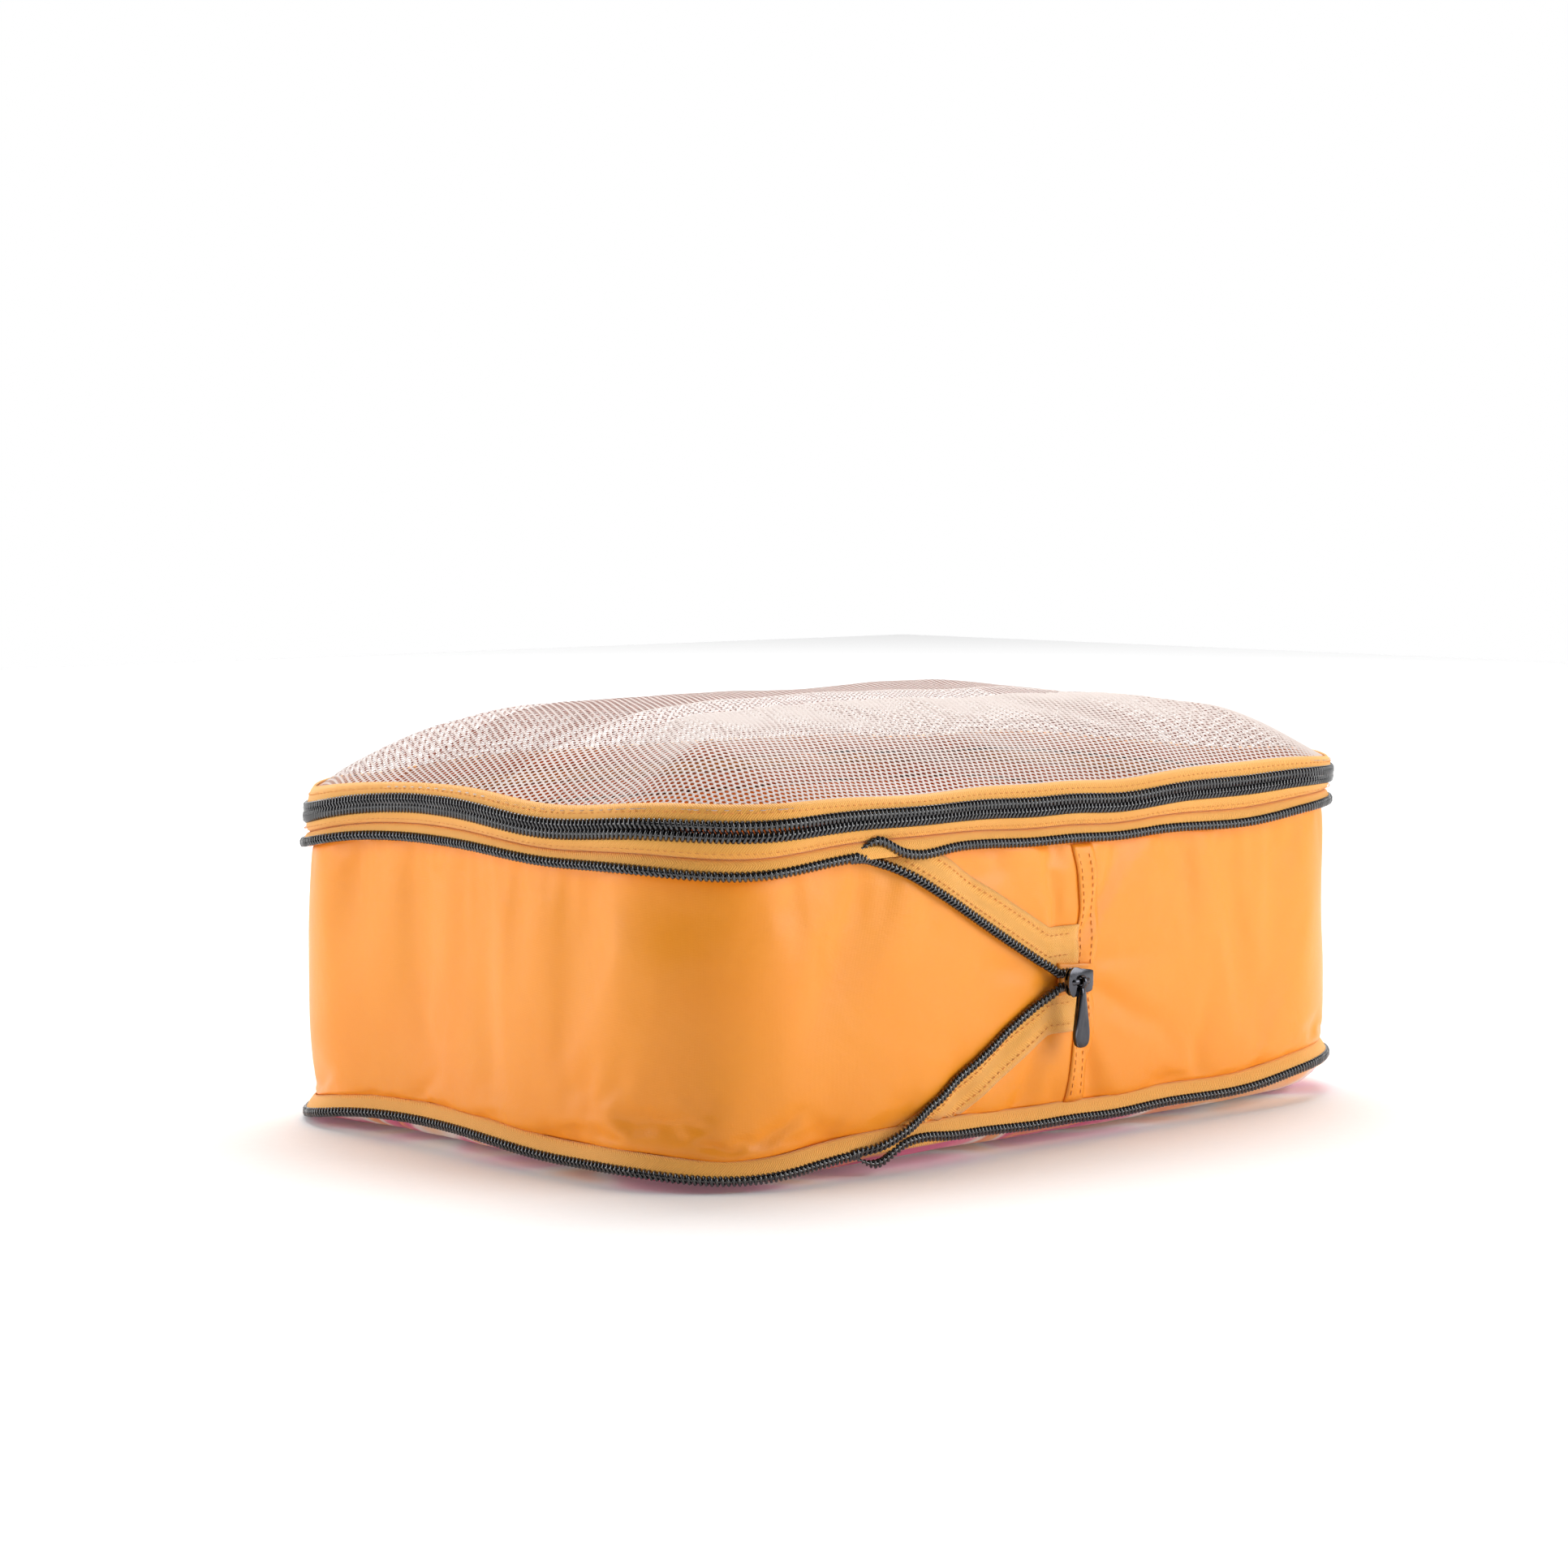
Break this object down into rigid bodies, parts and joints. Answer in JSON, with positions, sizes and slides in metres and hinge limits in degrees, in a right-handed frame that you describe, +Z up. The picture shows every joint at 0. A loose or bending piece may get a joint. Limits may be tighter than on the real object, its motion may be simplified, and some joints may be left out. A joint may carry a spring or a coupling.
{
  "type": "packing cube",
  "caption": "Soft box-shaped packing cube with a domed net lid on a hinged zipper and a second zipper that compresses the side wall.",
  "frame": {"origin": "middle of the flat base, on the surface that the cube rests on", "axes": "+X along the long side, +Y towards the lid's hinge, +Z up"},
  "size_m": [0.3583, 0.2535, 0.1532],
  "materials": {
    "printed_nylon": "satin woven nylon with a printed wavy band pattern",
    "orange_nylon": "satin fine-woven nylon",
    "zip_tape": "herringbone woven tape",
    "binding": "folded grosgrain",
    "net": "knitted hexagonal net",
    "zip_coil": "glossy black coil",
    "black_nickel": "polished black nickel"
  },
  "bodies": {
    "base": {"base_panel": "printed_nylon", "base_tape": "zip_tape", "base_coil": "zip_coil", "base_binding": "binding", "gusset_wall": "orange_nylon", "gusset_seam": "orange_nylon", "v_upper_tape": "zip_tape", "v_upper_coil": "zip_coil", "v_lower_tape": "zip_tape", "v_lower_coil": "zip_coil"},
    "top_frame": {"top_tape": "zip_tape", "top_coil": "zip_coil", "top_binding": "binding", "main_lower_tape": "zip_tape", "main_lower_coil": "zip_coil", "hinge_strip": "orange_nylon", "chain_end_left": "orange_nylon", "chain_end_right": "orange_nylon"},
    "lid": {"lid_net": "net", "lid_tape": "zip_tape", "lid_coil": "zip_coil", "lid_binding": "binding"},
    "wall_middle": {"garage_tab": "orange_nylon", "comp_stop": "black_nickel"},
    "comp_slider": {"comp_slider_body": "black_nickel", "comp_bail": "black_nickel"},
    "comp_pull": {"comp_pull": "black_nickel"},
    "main_slider_a": {"main_slider_a": "black_nickel", "main_bail_a": "black_nickel"},
    "main_pull_a": {"main_pull_a": "black_nickel"},
    "main_slider_b": {"main_slider_b": "black_nickel", "main_bail_b": "black_nickel"},
    "main_pull_b": {"main_pull_b": "black_nickel"}
  },
  "joints": [
    {"name": "compress", "type": "slide", "parent": "base", "child": "top_frame", "axis": [0, 0, 1], "range_m": [-0.094, 0], "deforming": ["gusset_wall", "gusset_seam", "v_upper_tape", "v_upper_coil", "v_lower_tape", "v_lower_coil", "garage_tab"]},
    {"name": "wall_middle_follow", "type": "slide", "parent": "base", "child": "wall_middle", "axis": [0, 0, 1], "range_m": [-0.047, 0]},
    {"name": "comp_slider_run", "type": "slide", "parent": "wall_middle", "child": "comp_slider", "axis": [-1, 0, 0], "range_m": [0, 0.1]},
    {"name": "comp_pull_swing", "type": "hinge", "parent": "comp_slider", "child": "comp_pull", "pos_m": [-0.003, -0.12848, 0.057], "axis": [-1, 0, 0], "range_deg": [0, 170]},
    {"name": "lid_open", "type": "hinge", "parent": "top_frame", "child": "lid", "pos_m": [0, 0.1227, 0.118], "axis": [-1, 0, 0], "range_deg": [0, 180]},
    {"name": "main_slider_a_run", "type": "slide", "parent": "top_frame", "child": "main_slider_a", "axis": [0, 1, 0], "range_m": [0, 0.06]},
    {"name": "main_pull_a_swing", "type": "hinge", "parent": "main_slider_a", "child": "main_pull_a", "pos_m": [0.18078, 0.0075, 0.118], "axis": [0, -1, 0], "range_deg": [0, 170]},
    {"name": "main_slider_b_run", "type": "slide", "parent": "top_frame", "child": "main_slider_b", "axis": [0, -1, 0], "range_m": [0, 0.06]},
    {"name": "main_pull_b_swing", "type": "hinge", "parent": "main_slider_b", "child": "main_pull_b", "pos_m": [0.18078, -0.0075, 0.118], "axis": [0, -1, 0], "range_deg": [0, 170]}
  ],
  "couplings": [
    {"joint": "wall_middle_follow", "follows": "compress", "ratio": 0.5},
    {"joint": "comp_slider_run", "follows": "compress", "ratio": -1.0638}
  ]
}
